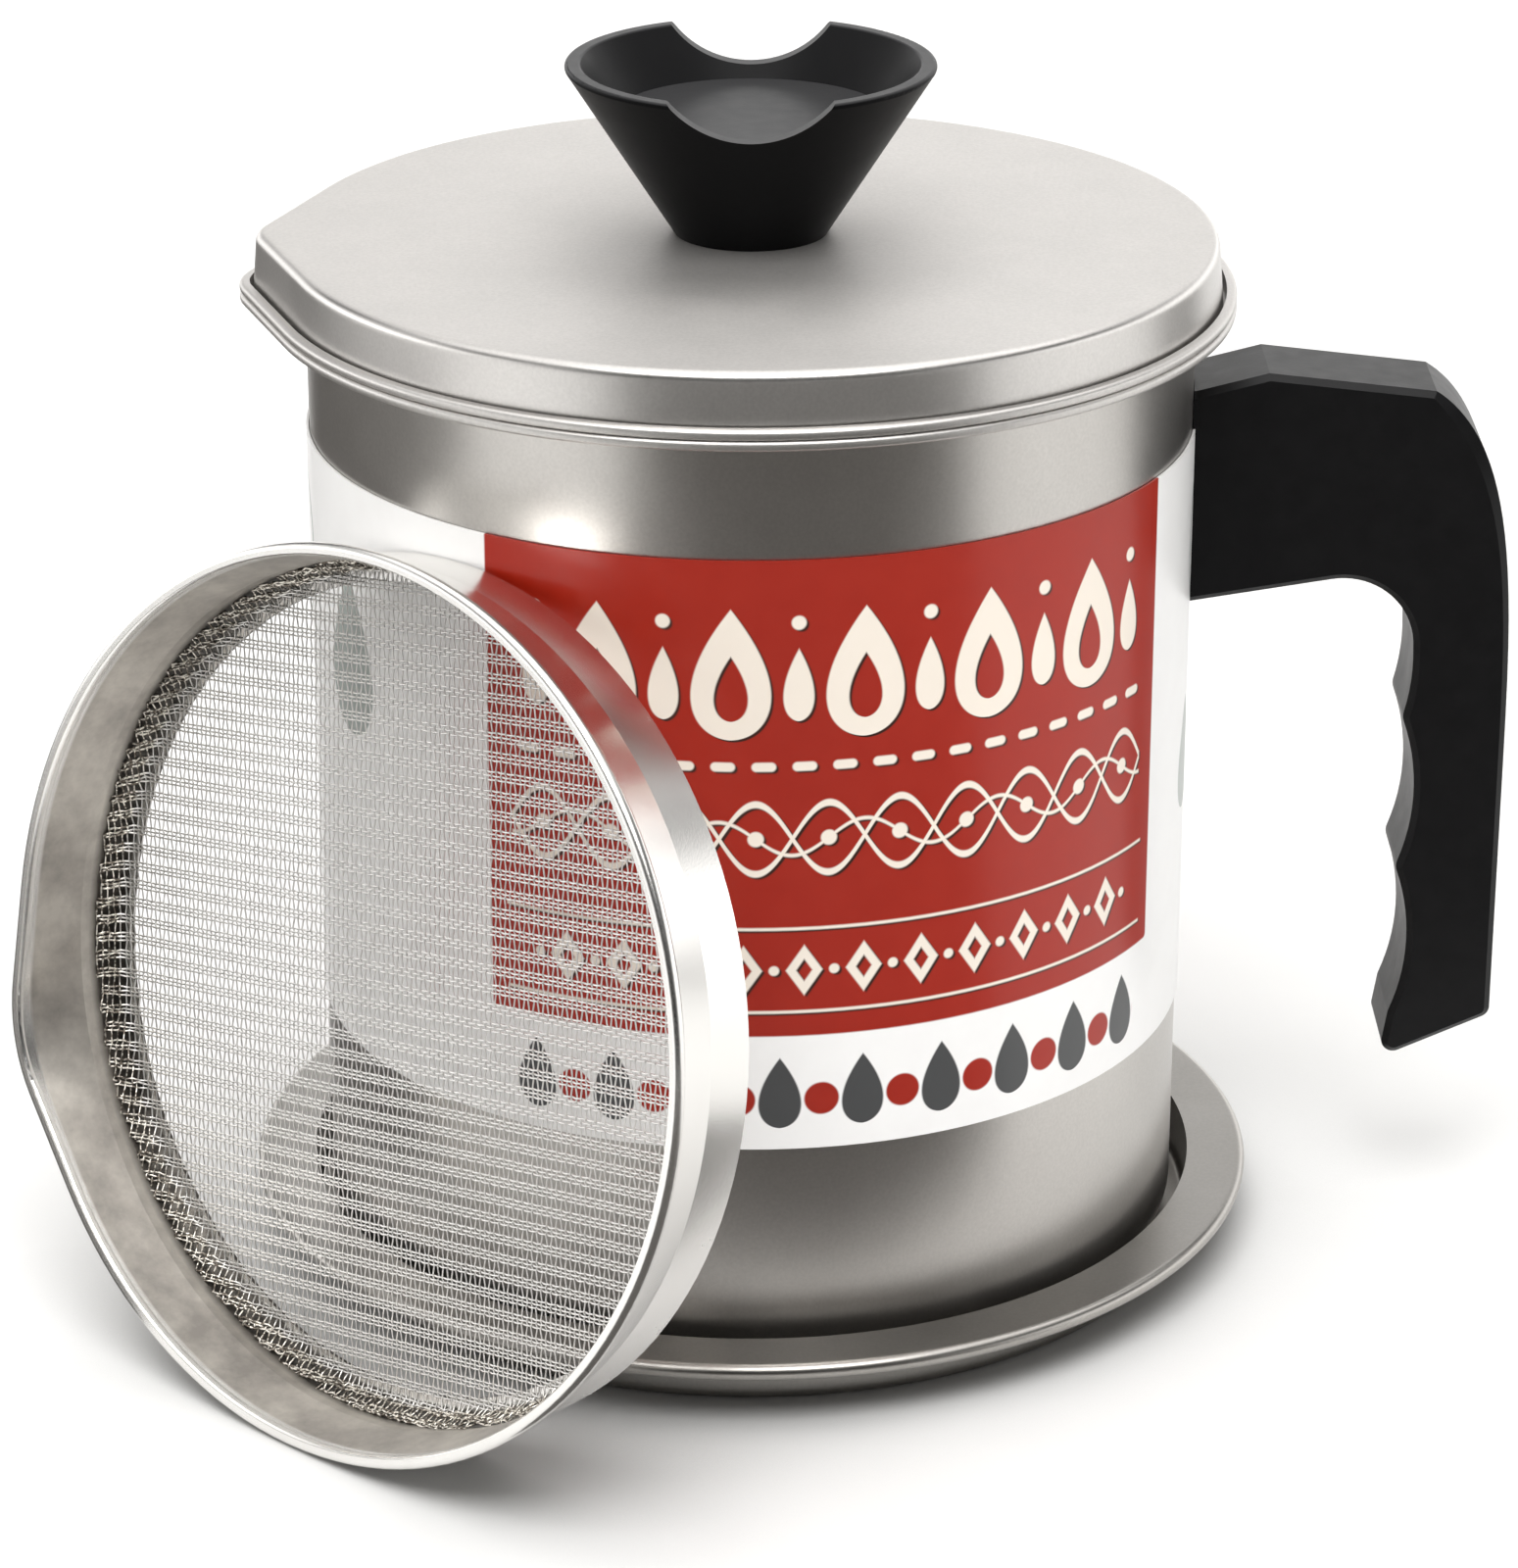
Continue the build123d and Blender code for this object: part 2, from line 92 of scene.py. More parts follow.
def strainer_axes():
    """Origin in the middle of the strainer's mouth, and its x, y and z directions as rows."""
    outward = np.array([math.cos(FACING), math.sin(FACING), 0.0])
    sideways = np.array([-outward[1], outward[0], 0.0])
    upright = np.array([0.0, 0.0, 1.0])
    mouth = outward * math.cos(LEAN) + upright * math.sin(LEAN)
    across = upright * math.cos(LEAN) - outward * math.sin(LEAN)
    out = LABEL_RADIUS + SEAT_GAP + STRAINER_DEPTH * math.cos(LEAN) + BAND_RADIUS * math.sin(LEAN)
    height = STRAINER_DEPTH * math.sin(LEAN) + BAND_RADIUS * math.cos(LEAN)
    origin = outward * out + sideways * LEAN_SHIFT + upright * height
    x_axis = sideways * math.cos(LIP_TURN) + across * math.sin(LIP_TURN)
    return origin, np.array([x_axis, np.cross(mouth, x_axis), mouth])


# ---------------------------------------------------------------- nodes of a material
def linear(code):
    """Linear colour of an sRGB hex code."""
    values = np.array([int(code[i:i + 2], 16) for i in (1, 3, 5)]) / 255
    values = np.where(values <= 0.04045, values / 12.92, ((values + 0.055) / 1.055) ** 2.4)
    return (*values.tolist(), 1.0)


def add(tree, kind, settings, inputs, out=0):
    """One node with its settings and its inputs, each a value or the output that feeds it.

    Gives the output that out numbers or names. The node's other outputs are in its node.outputs.
    """
    node = tree.nodes.new("ShaderNode" + kind)
    for key, value in settings.items():
        setattr(node, key, value)
    for key, value in inputs.items():
        if isinstance(value, bpy.types.NodeSocket):
            tree.links.new(value, node.inputs[key])
        else:
            node.inputs[key].default_value = value
    return node.outputs[out] if len(node.outputs) else node


def new_material(name):
    """Material with an empty node tree. Gives the material and its tree."""
    material = bpy.data.materials.new(name)
    material.use_nodes = True
    material.node_tree.nodes.clear()
    return material, material.node_tree


# ---------------------------------------------------------------- metals and phenolic
def coated_steel(name, low, high, dullness, flat_dulling):
    """Silver-grey coated drawn steel: satin metal that smears its reflections, a little cloudy.

    The coat goes from the low to the high colour. What faces up is duller by flat_dulling, since
    the spray settles on it.
    """
    material, tree = new_material(name)
    place = add(tree, "TexCoord", {}, {}, "Object")
    # cloudy thickness of the sprayed coat, patches of about 12 mm
    cloud = add(tree, "TexNoise", {},
                {"Vector": place, "Scale": 80.0, "Detail": 4.0, "Roughness": 0.6}, "Fac")
    # metal flakes of about 0.05 mm, drawn at 0.4 mm so that they show
    flake = add(tree, "TexNoise", {}, {"Vector": place, "Scale": 2400.0, "Detail": 2.0}, "Fac")
    colour = add(tree, "Mix", {"data_type": "RGBA"}, {0: cloud, 6: linear(low), 7: linear(high)}, 2)
    shade = add(tree, "MapRange", {}, {
        "Value": flake, "From Min": 0.3, "From Max": 0.7, "To Min": 0.95, "To Max": 1.04})
    colour = add(tree, "Mix", {"data_type": "RGBA", "blend_type": "MULTIPLY"},
                 {0: 1.0, 6: colour, 7: shade}, 2)
    upward = add(tree, "SeparateXYZ", {}, {0: place.node.outputs["Normal"]}, "Z")
    dulling = add(tree, "MapRange", {}, {
        "Value": upward, "From Min": 0.8, "From Max": 1.0, "To Max": flat_dulling})
    roughness = add(tree, "MapRange", {}, {
        "Value": cloud, "To Min": dullness - 0.03, "To Max": dullness + 0.03})
    roughness = add(tree, "Math", {"operation": "ADD"}, {0: roughness, 1: dulling})
    bump = add(tree, "Bump", {}, {"Height": flake, "Strength": 0.05, "Distance": 0.0001})
    shader = add(tree, "BsdfPrincipled", {}, {
        "Base Color": colour, "Metallic": 1.0, "Roughness": roughness, "Normal": bump})
    add(tree, "OutputMaterial", {}, {"Surface": shader})
    return material


def phenolic(name, low, high, worn, sheen):
    """Black moulded phenolic: nearly black, low sheen, with the faint ripple of the mould.

    It goes from the low to the high colour, and to a third colour where it faces up, which
    paints in the light that its upper faces catch from above: a painted highlight.
    """
    material, tree = new_material(name)
    place = add(tree, "TexCoord", {}, {}, "Object")
    upward = add(tree, "SeparateXYZ", {}, {0: place.node.outputs["Normal"]}, "Z")
    # painted highlight: share of the third colour on what faces up
    wear = add(tree, "MapRange", {}, {"Value": upward, "From Min": 0.4, "From Max": 0.9})
    # ripple of the polished mould, about 3 mm
    ripple = add(tree, "TexNoise", {}, {"Vector": place, "Scale": 330.0, "Detail": 3.0}, "Fac")
    # fine pitting of the moulded skin, about 0.3 mm
    skin = add(tree, "TexNoise", {}, {"Vector": place, "Scale": 3300.0, "Detail": 2.0}, "Fac")
    colour = add(tree, "Mix", {"data_type": "RGBA"},
                 {0: ripple, 6: linear(low), 7: linear(high)}, 2)
    colour = add(tree, "Mix", {"data_type": "RGBA"}, {0: wear, 6: colour, 7: linear(worn)}, 2)
    roughness = add(tree, "MapRange", {}, {"Value": ripple, "To Min": 0.32, "To Max": 0.44})
    bump = add(tree, "Bump", {}, {"Height": skin, "Strength": 0.12, "Distance": 0.0001})
    shader = add(tree, "BsdfPrincipled", {}, {
        "Base Color": colour, "Roughness": roughness, "IOR": 1.5, "Specular IOR Level": sheen,
        "Normal": bump})
    add(tree, "OutputMaterial", {}, {"Surface": shader})
    return material


def place_in_strainer(tree, place):
    """Offset from the middle of the strainer's mouth, its share along the axis, and the axis."""
    origin, axes = strainer_axes()
    axis = axes[2].tolist()
    offset = add(tree, "VectorMath", {"operation": "SUBTRACT"}, {0: place, 1: origin.tolist()})
    depth = add(tree, "VectorMath", {"operation": "DOT_PRODUCT"}, {0: offset, 1: axis}, "Value")
    return offset, depth, axis


def bright_steel():
    """Stainless sheet, polished bright outside and on the rolled rim. Inside: grey, mottled and
    dark where the mesh meets it, as painted shade and reflection.
    """
    material, tree = new_material("polished_stainless_steel")
    place = add(tree, "TexCoord", {}, {}, "Object")
    normal = place.node.outputs["Normal"]
    # the inside is what faces the axis below the rolled rim
    offset, depth, axis = place_in_strainer(tree, place)
    lengthwise = add(tree, "VectorMath", {"operation": "PROJECT"}, {0: offset, 1: axis})
    radial = add(tree, "VectorMath", {"operation": "SUBTRACT"}, {0: offset, 1: lengthwise})
    radial = add(tree, "VectorMath", {"operation": "NORMALIZE"}, {0: radial})
    facing = add(tree, "VectorMath", {"operation": "DOT_PRODUCT"}, {0: radial, 1: normal}, "Value")
    inner = add(tree, "MapRange", {}, {"Value": facing, "From Min": -0.3, "From Max": -0.6})
    below = add(tree, "MapRange", {}, {
        "Value": depth, "From Min": -1.7 * MM, "From Max": -2.1 * MM})
    inner = add(tree, "Math", {"operation": "MULTIPLY"}, {0: inner, 1: below})
    # mottling, patches of about 10 mm: a random tone outside, and painted shade and reflection in
    # the grey of the inside
    haze = add(tree, "TexNoise", {},
               {"Vector": place, "Scale": 100.0, "Detail": 5.0, "Roughness": 0.65}, "Fac")
    # rolling lines about 0.3 mm apart
    line = add(tree, "TexNoise", {}, {"Vector": place, "Scale": 3000.0, "Detail": 1.0}, "Fac")
    polished = add(tree, "Mix", {"data_type": "RGBA"},
                   {0: haze, 6: linear("#e6e4e1"), 7: linear("#f0efec")}, 2)
    spread = add(tree, "MapRange", {}, {"Value": haze, "From Min": 0.35, "From Max": 0.65})
    # painted shade: the inside is a darker grey than the outside
    grey = add(tree, "Mix", {"data_type": "RGBA"},
               {0: spread, 6: linear("#aaa59f"), 7: linear("#d8d3cb")}, 2)
    colour = add(tree, "Mix", {"data_type": "RGBA"}, {0: inner, 6: polished, 7: grey}, 2)
    # painted shade: a dark band where the edge of the mesh meets the wall
    seam = add(tree, "MapRange", {}, {
        "Value": depth, "From Min": -9.8 * MM, "From Max": -11.3 * MM, "To Max": 0.8})
    seam = add(tree, "Math", {"operation": "MULTIPLY"}, {0: seam, 1: inner})
    colour = add(tree, "Mix", {"data_type": "RGBA"}, {0: seam, 6: colour, 7: linear("#2b2724")}, 2)
    roughness = add(tree, "MapRange", {}, {"Value": haze, "To Min": 0.22, "To Max": 0.3})
    roughness = add(tree, "Math", {"operation": "MULTIPLY_ADD"}, {0: inner, 1: 0.14, 2: roughness})
    bump = add(tree, "Bump", {}, {"Height": line, "Strength": 0.05, "Distance": 0.0001})
    shader = add(tree, "BsdfPrincipled", {}, {
        "Base Color": colour, "Metallic": 1.0, "Roughness": roughness, "Normal": bump})
    add(tree, "OutputMaterial", {}, {"Surface": shader})
    return material


def steel_wire():
    """Drawn stainless wire, pickled: pale and without a mirror.

    Its turned-up edge is speckled dark and pale: painted shade and reflection.
    """
    material, tree = new_material("drawn_stainless_wire")
    place = add(tree, "TexCoord", {}, {}, "Object")
    # unevenness of the pickled skin, about 1 mm
    spot = add(tree, "TexNoise", {}, {"Vector": place, "Scale": 900.0, "Detail": 2.0}, "Fac")
    colour = add(tree, "Mix", {"data_type": "RGBA"},
                 {0: spot, 6: linear("#e6e4e1"), 7: linear("#f6f5f3")}, 2)
    # painted shade and reflection on what lies above the flat of the dish, in specks of about 0.5
    # mm
    depth = place_in_strainer(tree, place)[1]
    edge = add(tree, "MapRange", {}, {
        "Value": depth, "From Min": MESH_LEVEL + 0.3 * MM, "From Max": MESH_LEVEL + MM})
    speck = add(tree, "TexNoise", {}, {"Vector": place, "Scale": 2000.0, "Detail": 1.0}, "Fac")
    speck = add(tree, "MapRange", {}, {"Value": speck, "From Min": 0.42, "From Max": 0.56})
    stained = add(tree, "Mix", {"data_type": "RGBA"},
                  {0: speck, 6: linear("#7a7268"), 7: linear("#f5f0e6")}, 2)
    colour = add(tree, "Mix", {"data_type": "RGBA"}, {0: edge, 6: colour, 7: stained}, 2)
    roughness = add(tree, "MapRange", {}, {"Value": spot, "To Min": 0.3, "To Max": 0.42})
    shader = add(tree, "BsdfPrincipled", {}, {
        "Base Color": colour, "Metallic": 1.0, "Roughness": roughness})
    add(tree, "OutputMaterial", {}, {"Surface": shader})
    return material


def plain_metal(name, code, dullness):
    """Turned or plated small part: its colour with a fine grain of about 0.5 mm."""
    material, tree = new_material(name)
    place = add(tree, "TexCoord", {}, {}, "Object")
    grain = add(tree, "TexNoise", {}, {"Vector": place, "Scale": 2000.0, "Detail": 2.0}, "Fac")
    low = linear(code)
    high = tuple(min(1.0, 1.12 * v) for v in low)
    colour = add(tree, "Mix", {"data_type": "RGBA"}, {0: grain, 6: low, 7: high}, 2)
    roughness = add(tree, "MapRange", {}, {
        "Value": grain, "To Min": dullness - 0.06, "To Max": dullness + 0.06})
    shader = add(tree, "BsdfPrincipled", {}, {
        "Base Color": colour, "Metallic": 1.0, "Roughness": roughness})
    add(tree, "OutputMaterial", {}, {"Surface": shader})
    return material


# ---------------------------------------------------------------- printed label
# Figures are drawn by their depth: how far inside its outline a place lies, in mm, less than 0
# outside it. The smaller of two depths is the depth inside both outlines.
def label_place(tree):
    """Place on the wrap in mm: along it from the middle of the nearer face, and up from its edge.

    The wrap has two faces, half a turn apart, which are printed alike.
    """
    point = add(tree, "TexCoord", {}, {}, "Object")
    turned = add(tree, "VectorRotate", {"rotation_type": "Z_AXIS"},
                 {"Vector": point, "Angle": -LABEL_FACE})
    axes = add(tree, "SeparateXYZ", {}, {0: turned}).node.outputs
    angle = add(tree, "Math", {"operation": "ARCTAN2"}, {0: axes["Y"], 1: axes["X"]})
    angle = add(tree, "Math", {"operation": "WRAP"}, {0: angle, 1: -math.pi / 2, 2: math.pi / 2})
    along = add(tree, "Math", {"operation": "MULTIPLY"}, {0: angle, 1: LABEL_RADIUS / MM})
    up = add(tree, "Math", {"operation": "MULTIPLY_ADD"},
             {0: axes["Z"], 1: 1 / MM, 2: -LABEL_BOTTOM})
    return along, up


def ink(tree, depth):
    """Cover of the ink, from 0 outside a figure to 1 inside it."""
    return add(tree, "MapRange", {}, {
        "Value": depth, "From Min": -PRINT_BLUR, "From Max": PRINT_BLUR})


def repeated(tree, along, start, pitch):
    """Place along a row of motifs, as if all lay at the start, where the first one's middle is."""
    return add(tree, "Math", {"operation": "WRAP"},
               {0: along, 1: start - pitch / 2, 2: start + pitch / 2})


def either(tree, depths):
    """Depth inside any of some outlines: the largest one."""
    most = depths[0]
    for depth in depths[1:]:
        most = add(tree, "Math", {"operation": "MAXIMUM"}, {0: most, 1: depth})
    return most


def without(tree, depth, hole):
    """Depth inside a figure and outside its hole: the smaller of one and the other's negative."""
    outside = add(tree, "Math", {"operation": "MULTIPLY"}, {0: hole, 1: -1.0})
    return add(tree, "Math", {"operation": "MINIMUM"}, {0: depth, 1: outside})


def line_depth(tree, depth, half_width):
    """Depth inside a line along an outline: half its width less the distance from the outline."""
    away = add(tree, "Math", {"operation": "ABSOLUTE"}, {0: depth})
    return add(tree, "Math", {"operation": "SUBTRACT"}, {0: half_width, 1: away})


def box_depth(tree, along, up, left, right, bottom, top, corner):
    """Depth inside a rectangle with round corners of that radius.

    It is the radius less the length of what reaches past the rectangle of the corners' centres.
    """
    reach = []
    for value, low, high in ((along, left, right), (up, bottom, top)):
        away = add(tree, "Math", {"operation": "SUBTRACT"}, {0: value, 1: (low + high) / 2})
        away = add(tree, "Math", {"operation": "ABSOLUTE"}, {0: away})
        reach.append(add(tree, "Math", {"operation": "SUBTRACT"},
                         {0: away, 1: (high - low) / 2 - corner}))
    past = add(tree, "CombineXYZ", {}, {"X": reach[0], "Y": reach[1]})
    outside = add(tree, "VectorMath", {"operation": "MAXIMUM"}, {0: past, 1: (0.0, 0.0, 0.0)})
    outside = add(tree, "VectorMath", {"operation": "LENGTH"}, {0: outside}, "Value")
    inside = add(tree, "Math", {"operation": "MAXIMUM"}, {0: reach[0], 1: reach[1]})
    inside = add(tree, "Math", {"operation": "MINIMUM"}, {0: inside, 1: 0.0})
    distance = add(tree, "Math", {"operation": "ADD"}, {0: outside, 1: inside})
    return add(tree, "Math", {"operation": "SUBTRACT"}, {0: corner, 1: distance})


def dot_depth(tree, along, up, middle, level, radius):
    """Depth inside a round dot: a rectangle that is all corners."""
    return box_depth(tree, along, up, middle - radius, middle + radius, level - radius,
                     level + radius, radius)


def drop_depth(tree, along, up, middle, bottom, height, half_width):
    """Depth inside a drop that stands on its round end.

    With q going from 0 at its bottom to 1 at its tip, its half width is
    2.6 half_width sqrt(q) (1 - q).
    """
    q = add(tree, "MapRange", {}, {"Value": up, "From Min": bottom, "From Max": bottom + height})
    root = add(tree, "Math", {"operation": "SQRT"}, {0: q})
    rest = add(tree, "Math", {"operation": "SUBTRACT"}, {0: 1.0, 1: q})
    width = add(tree, "Math", {"operation": "MULTIPLY"}, {0: root, 1: rest})
    width = add(tree, "Math", {"operation": "MULTIPLY"}, {0: width, 1: 2.6 * half_width})
    away = add(tree, "Math", {"operation": "SUBTRACT"}, {0: along, 1: middle})
    away = add(tree, "Math", {"operation": "ABSOLUTE"}, {0: away})
    away = add(tree, "Math", {"operation": "ADD"}, {0: away, 1: PRINT_BLUR})
    return add(tree, "Math", {"operation": "SUBTRACT"}, {0: width, 1: away})


def diamond_depth(tree, along, up, middle, level, half_width, half_height):
    """Depth inside a diamond of the given half sizes.

    It is the radius of the circle that fits in it, times 1 less the sum of how far the place lies
    from the middle each way, as shares of the half sizes.
    """
    share = []
    for value, centre, half in ((along, middle, half_width), (up, level, half_height)):
        away = add(tree, "Math", {"operation": "SUBTRACT"}, {0: value, 1: centre})
        away = add(tree, "Math", {"operation": "ABSOLUTE"}, {0: away})
        share.append(add(tree, "Math", {"operation": "DIVIDE"}, {0: away, 1: half}))
    total = add(tree, "Math", {"operation": "ADD"}, {0: share[0], 1: share[1]})
    rest = add(tree, "Math", {"operation": "SUBTRACT"}, {0: 1.0, 1: total})
    inner = half_width * half_height / math.hypot(half_width, half_height)
    return add(tree, "Math", {"operation": "MULTIPLY"}, {0: rest, 1: inner})


def wave_depth(tree, along, up, height, swing, length, phase, half_width):
    """Depth inside a wavy line at height plus swing times the sine of the place along it."""
    turn = add(tree, "Math", {"operation": "MULTIPLY_ADD"},
               {0: along, 1: 2 * math.pi / length, 2: phase})
    rise = add(tree, "Math", {"operation": "SINE"}, {0: turn})
    rise = add(tree, "Math", {"operation": "MULTIPLY_ADD"}, {0: rise, 1: swing, 2: height})
    away = add(tree, "Math", {"operation": "SUBTRACT"}, {0: up, 1: rise})
    return line_depth(tree, away, half_width)


def panel_ornament(tree, along, up):
    """Depth inside the pale figures of the red panel.

    From the top: drops with buds between them, a row of dashes, a braid of three waves strung
    with beads, and a border of diamonds and dots between two lines.
    """
    drop = repeated(tree, along, 0.0, DROP_PITCH)
    drops = without(tree, drop_depth(tree, drop, up, 0.0, 55.0, 17.0, 5.0),
                    drop_depth(tree, drop, up, 0.0, 57.4, 8.6, 2.2))
    bud_middle = DROP_PITCH / 2
    bud = repeated(tree, along, bud_middle, DROP_PITCH)
    buds = drop_depth(tree, bud, up, bud_middle, 57.4, 9.6, 2.0)
    dots = dot_depth(tree, bud, up, bud_middle, 70.1, 0.9)

    dash = repeated(tree, along, DASH_PITCH / 2, DASH_PITCH)
    dashes = box_depth(tree, dash, up, 1.0, 4.0, 50.9, 52.1, 0.6)

    braid_level = 42.0
    waves = [wave_depth(tree, along, up, braid_level, swing, 2 * BEAD_PITCH, phase, half_width)
             for swing, phase, half_width in
             ((4.6, 0.0, 0.45), (4.6, math.pi, 0.45), (2.2, math.pi / 2, 0.24))]
    bead = repeated(tree, along, BEAD_PITCH / 2, BEAD_PITCH)
    beads = dot_depth(tree, bead, up, BEAD_PITCH / 2, braid_level, 1.0)

    border_level = 24.4
    diamond = repeated(tree, along, 0.0, DIAMOND_PITCH)
    diamonds = without(tree, diamond_depth(tree, diamond, up, 0.0, border_level, 2.3, 3.4),
                       diamond_depth(tree, diamond, up, 0.0, border_level, 1.0, 1.5))
    point = repeated(tree, along, DIAMOND_PITCH / 2, DIAMOND_PITCH)
    points = dot_depth(tree, point, up, DIAMOND_PITCH / 2, border_level, 0.65)
    lines = [box_depth(tree, along, up, -46.0, 46.0, level - 0.2, level + 0.2, 0.1)
             for level in (18.8, 30.0)]

    # each row ends where its last motif is whole
    rows = []
    for depths, reach in (([drops, buds, dots], 44.0), ([dashes, *waves, beads], 45.0),
                          ([diamonds, points], 42.5)):
        room = box_depth(tree, along, up, -reach, reach, 16.0, 76.0, 0.5)
        rows.append(add(tree, "Math", {"operation": "MINIMUM"},
                        {0: either(tree, depths), 1: room}))
    return either(tree, [*rows, *lines])


def printed_label():
    """Offset-printed coated paper: flat bright inks under a varnish, with a soft even gloss."""
    material, tree = new_material("varnished_printed_paper")
    along, up = label_place(tree)
    place = add(tree, "TexCoord", {}, {}, "Object")
    # unevenness of the paper under the ink, about 4 mm
    fibre = add(tree, "TexNoise", {}, {"Vector": place, "Scale": 250.0, "Detail": 4.0}, "Fac")
    red = add(tree, "Mix", {"data_type": "RGBA"},
              {0: fibre, 6: linear("#9c1d0a"), 7: linear("#a6240f")}, 2)
    white = add(tree, "Mix", {"data_type": "RGBA"},
                {0: fibre, 6: linear("#f5f4f3"), 7: linear("#fafaf9")}, 2)

    # soft grey figures on the white sides of the wrap
    side = repeated(tree, along, SIDE_PITCH / 2, SIDE_PITCH)
    ring = dot_depth(tree, side, up, 77.0, 63.0, 11.0)
    grey = either(tree, [
        line_depth(tree, ring, 0.55), drop_depth(tree, side, up, 77.0, 55.0, 15.0, 4.6),
        drop_depth(tree, side, up, 104.0, 44.0, 22.0, 6.0),
        drop_depth(tree, side, up, 66.0, 27.0, 16.0, 4.6)])

    # dark drops and red berries on its white foot
    foot = repeated(tree, along, 0.0, FOOT_PITCH)
    foot_drops = drop_depth(tree, foot, up, 0.0, 2.9, 9.8, 2.8)
    berry = repeated(tree, along, FOOT_PITCH / 2, FOOT_PITCH)
    berries = dot_depth(tree, berry, up, FOOT_PITCH / 2, 6.8, 2.2)
    room = box_depth(tree, along, up, -45.0, 45.0, 1.0, 14.0, 0.5)
    foot_drops = add(tree, "Math", {"operation": "MINIMUM"}, {0: foot_drops, 1: room})
    berries = add(tree, "Math", {"operation": "MINIMUM"}, {0: berries, 1: room})

    # red panel, its pale figures, and the dark edge of a second ink on their lower right
    panel = box_depth(tree, along, up, -PANEL_HALF_WIDTH, PANEL_HALF_WIDTH,
                      PANEL_BOTTOM, PANEL_TOP, 0.6)
    shadow_along = add(tree, "Math", {"operation": "SUBTRACT"}, {0: along, 1: 0.32})
    shadow_up = add(tree, "Math", {"operation": "ADD"}, {0: up, 1: 0.26})
    shadow = panel_ornament(tree, shadow_along, shadow_up)
    figure = panel_ornament(tree, along, up)

    colour = white
    for depth, tone in ((grey, linear("#a9b0ac")), (foot_drops, linear("#4b4c4d")), (berries, red),
                        (panel, red), (shadow, linear("#3c2018")), (figure, linear("#f3e9dc"))):
        cover = ink(tree, depth)
        colour = add(tree, "Mix", {"data_type": "RGBA"}, {0: cover, 6: colour, 7: tone}, 2)

    roughness = add(tree, "MapRange", {}, {"Value": fibre, "To Min": 0.32, "To Max": 0.4})
    bump = add(tree, "Bump", {}, {"Height": fibre, "Strength": 0.04, "Distance": 0.0003})
    shader = add(tree, "BsdfPrincipled", {}, {
        "Base Color": colour, "Roughness": roughness, "IOR": 1.5, "Specular IOR Level": 0.3,
        "Coat Weight": 0.2, "Coat Roughness": 0.18, "Normal": bump})
    add(tree, "OutputMaterial", {}, {"Surface": shader})
    return material


# ---------------------------------------------------------------- pressed sheet: rim, lid and tray
def mesh_object(name, vertices, faces, material, sharp=0.0):
    """Object from vertices in metres and faces. Edges bent more than sharp show, if it is set."""
    mesh = bpy.data.meshes.new(name)
    mesh.from_pydata(vertices.reshape(-1, 3), [], faces)
    mesh.update()
    mesh.polygons.foreach_set("use_smooth", np.full(len(mesh.polygons), True))
    if sharp:
        mesh.set_sharp_from_angle(angle=sharp)
    mesh.materials.append(material)
    piece = bpy.data.objects.new(name, mesh)
    bpy.context.scene.collection.objects.link(piece)
    return piece


def arc(centre, radius, start, end):
    """Points of an arc in a section, from start to end in degrees, one about every 12 degrees.

    A point is (distance, height): the centre plus the radius times (cos, sin) of its angle.
    """
    angle = np.radians(np.linspace(start, end, 2 + int(abs(end - start) / 12)))
    return np.stack([centre[0] + radius * np.cos(angle), centre[1] + radius * np.sin(angle)], -1)


def lipped_sheet(name, section, bore, material):
    """Piece of sheet whose level lines run round the pot and out to its pouring lip.

    Seen from above, a level line at distance r from the axis is a circle, but towards the lip its
    centre moves to LIP_CENTRE while its radius shrinks by LIP_SHRINK, both by the same share: none
    round the pot, all at the tip, and growing evenly along the two straight sides between them.
    The section is a loop of (r, height) in mm that starts and ends at a round hole, whose edges
    lie at the heights of its first and last point.
    """
    round_count, side_count, tip_count = 361, 9, 61
    tangent = math.acos(LIP_SHRINK / LIP_CENTRE)
    ends = math.pi - tangent, math.pi + tangent
    slide = np.linspace(0, 1, side_count + 2)[1:-1]
    share = np.concatenate([np.zeros(round_count), slide, np.ones(tip_count), slide[::-1]])
    turn = np.concatenate([
        np.linspace(-ends[0], ends[0], round_count), np.full(side_count, ends[0]),
        np.linspace(*ends, tip_count), np.full(side_count, ends[1])])
    reach = section[:, :1] - share * LIP_SHRINK
    flat = np.stack([reach * np.cos(turn) - share * LIP_CENTRE, reach * np.sin(turn)], -1)
    hole = flat[:1] * (bore / np.linalg.norm(flat[:1], axis=-1, keepdims=True))
    flat = np.concatenate([hole, flat, hole])
    height = np.concatenate([section[:1, 1], section[:, 1], section[-1:, 1]])
    height = np.broadcast_to(height[:, None, None], (*flat.shape[:2], 1))
    index = np.arange(height.size).reshape(flat.shape[:2])
    ahead = np.roll(index, -1, 0)
    beside = np.roll(index, -1, 1)
    faces = np.stack([index, beside, np.roll(ahead, -1, 1), ahead], -1).reshape(-1, 4)
    return mesh_object(name, np.concatenate([flat, height], -1) * MM, faces, material, SHEET_CREASE)


def make_hemmed_rim(material):
    """Ledge of the pot, with its edge hemmed into two rolls, one on the other."""
    under, ledge, seam, top = 127.4, 128.0, 128.75, 130.1
    outer, hem, bend = 62.1, 60.8, 0.6
    section = np.concatenate([
        [(60.3, under), (61.2, under)], arc((outer - bend, under + bend), bend, -90, 0),
        arc((outer - bend, seam - bend), bend, 0, 90),
        arc((outer - bend, seam + bend), bend, -90, 0),
        arc((outer - bend, top - bend), bend, 0, 90), [(hem, top), (hem, ledge)]])
    return lipped_sheet("hemmed_rim", section, 56.4, material)


